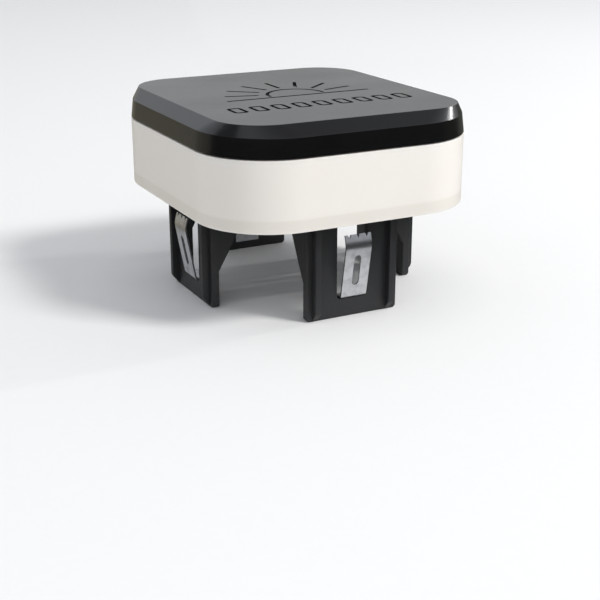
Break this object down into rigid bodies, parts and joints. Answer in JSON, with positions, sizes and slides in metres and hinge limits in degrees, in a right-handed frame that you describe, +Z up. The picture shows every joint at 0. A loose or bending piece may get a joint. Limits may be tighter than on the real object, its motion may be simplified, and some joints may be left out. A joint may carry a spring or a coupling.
{
  "type": "fence post cap",
  "caption": "Lit rectangular fence post cap: chamfered black lid on an opal ring, with legs and spring clips that hold it in a hollow post.",
  "frame": {"origin": "centre of the plane in which the cap rests on the post's end", "axes": "+Z up, away from the post; X across the cap's narrow width, Y along its depth, with the row of frames on the lid towards -Y"},
  "size_m": [0.0904, 0.099, 0.0636],
  "materials": {
    "lid_black": "satin moulded, charcoal black",
    "opal": "opal, satin gloss, translucent",
    "carrier_grey": "fine spark-eroded texture",
    "gasket_rubber": "matte",
    "spring_steel": "rolled strip",
    "screw_steel": "zinc plated",
    "reflector_white": "smooth white",
    "board_white": "white solder mask",
    "led_package": "white package with yellow phosphor",
    "component_black": "moulded",
    "capacitor_can": "satin",
    "terminal_green": "moulded",
    "gland_black": "polyamide"
  },
  "bodies": {
    "base": {"lid_gasket": "gasket_rubber", "diffuser": "opal", "carrier": "carrier_grey", "reflector": "reflector_white", "led_board": "board_white", "led_01": "led_package", "led_02": "led_package", "led_03": "led_package", "led_04": "led_package", "led_05": "led_package", "led_06": "led_package", "led_07": "led_package", "led_08": "led_package", "led_09": "led_package", "led_10": "led_package", "led_11": "led_package", "led_12": "led_package", "peg_bush_1": "gasket_rubber", "peg_bush_2": "gasket_rubber", "peg_bush_3": "gasket_rubber", "peg_bush_4": "gasket_rubber", "diffuser_screw_1": "screw_steel", "diffuser_screw_2": "screw_steel", "diffuser_screw_3": "screw_steel", "diffuser_screw_4": "screw_steel", "board_screw_1": "screw_steel", "board_screw_2": "screw_steel", "board_screw_3": "screw_steel", "board_screw_4": "screw_steel", "terminal_block": "terminal_green", "terminal_screw_1": "screw_steel", "terminal_screw_2": "screw_steel", "rectifier": "component_black", "smoothing_capacitor": "capacitor_can", "resistor_1": "component_black", "resistor_2": "component_black", "resistor_3": "component_black", "resistor_4": "component_black", "gland_body": "gland_black", "gland_washer": "gasket_rubber", "gland_lock_nut": "gland_black", "gland_seal": "gasket_rubber", "gland_cap": "gland_black"},
    "lid": {"lid": "lid_black"},
    "clip_right": {"retaining_clip_right": "spring_steel"},
    "clip_back": {"retaining_clip_back": "spring_steel"},
    "clip_left": {"retaining_clip_left": "spring_steel"},
    "clip_front": {"retaining_clip_front": "spring_steel"}
  },
  "joints": [
    {"name": "lid_lift", "type": "slide", "parent": "base", "child": "lid", "axis": [0, 0, 1], "range_m": [0, 0.045]},
    {"name": "clip_right_flex", "type": "hinge", "parent": "base", "child": "clip_right", "pos_m": [0.0355, 0, -0.0294], "axis": [0, -1, 0], "range_deg": [0, 6], "stiffness_Nm_per_rad": 0.6},
    {"name": "clip_back_flex", "type": "hinge", "parent": "base", "child": "clip_back", "pos_m": [0, 0.03975, -0.0294], "axis": [1, 0, 0], "range_deg": [0, 6], "stiffness_Nm_per_rad": 0.6},
    {"name": "clip_left_flex", "type": "hinge", "parent": "base", "child": "clip_left", "pos_m": [-0.0355, 0, -0.0294], "axis": [0, 1, 0], "range_deg": [0, 6], "stiffness_Nm_per_rad": 0.6},
    {"name": "clip_front_flex", "type": "hinge", "parent": "base", "child": "clip_front", "pos_m": [0, -0.03975, -0.0294], "axis": [-1, 0, 0], "range_deg": [0, 6], "stiffness_Nm_per_rad": 0.6}
  ]
}
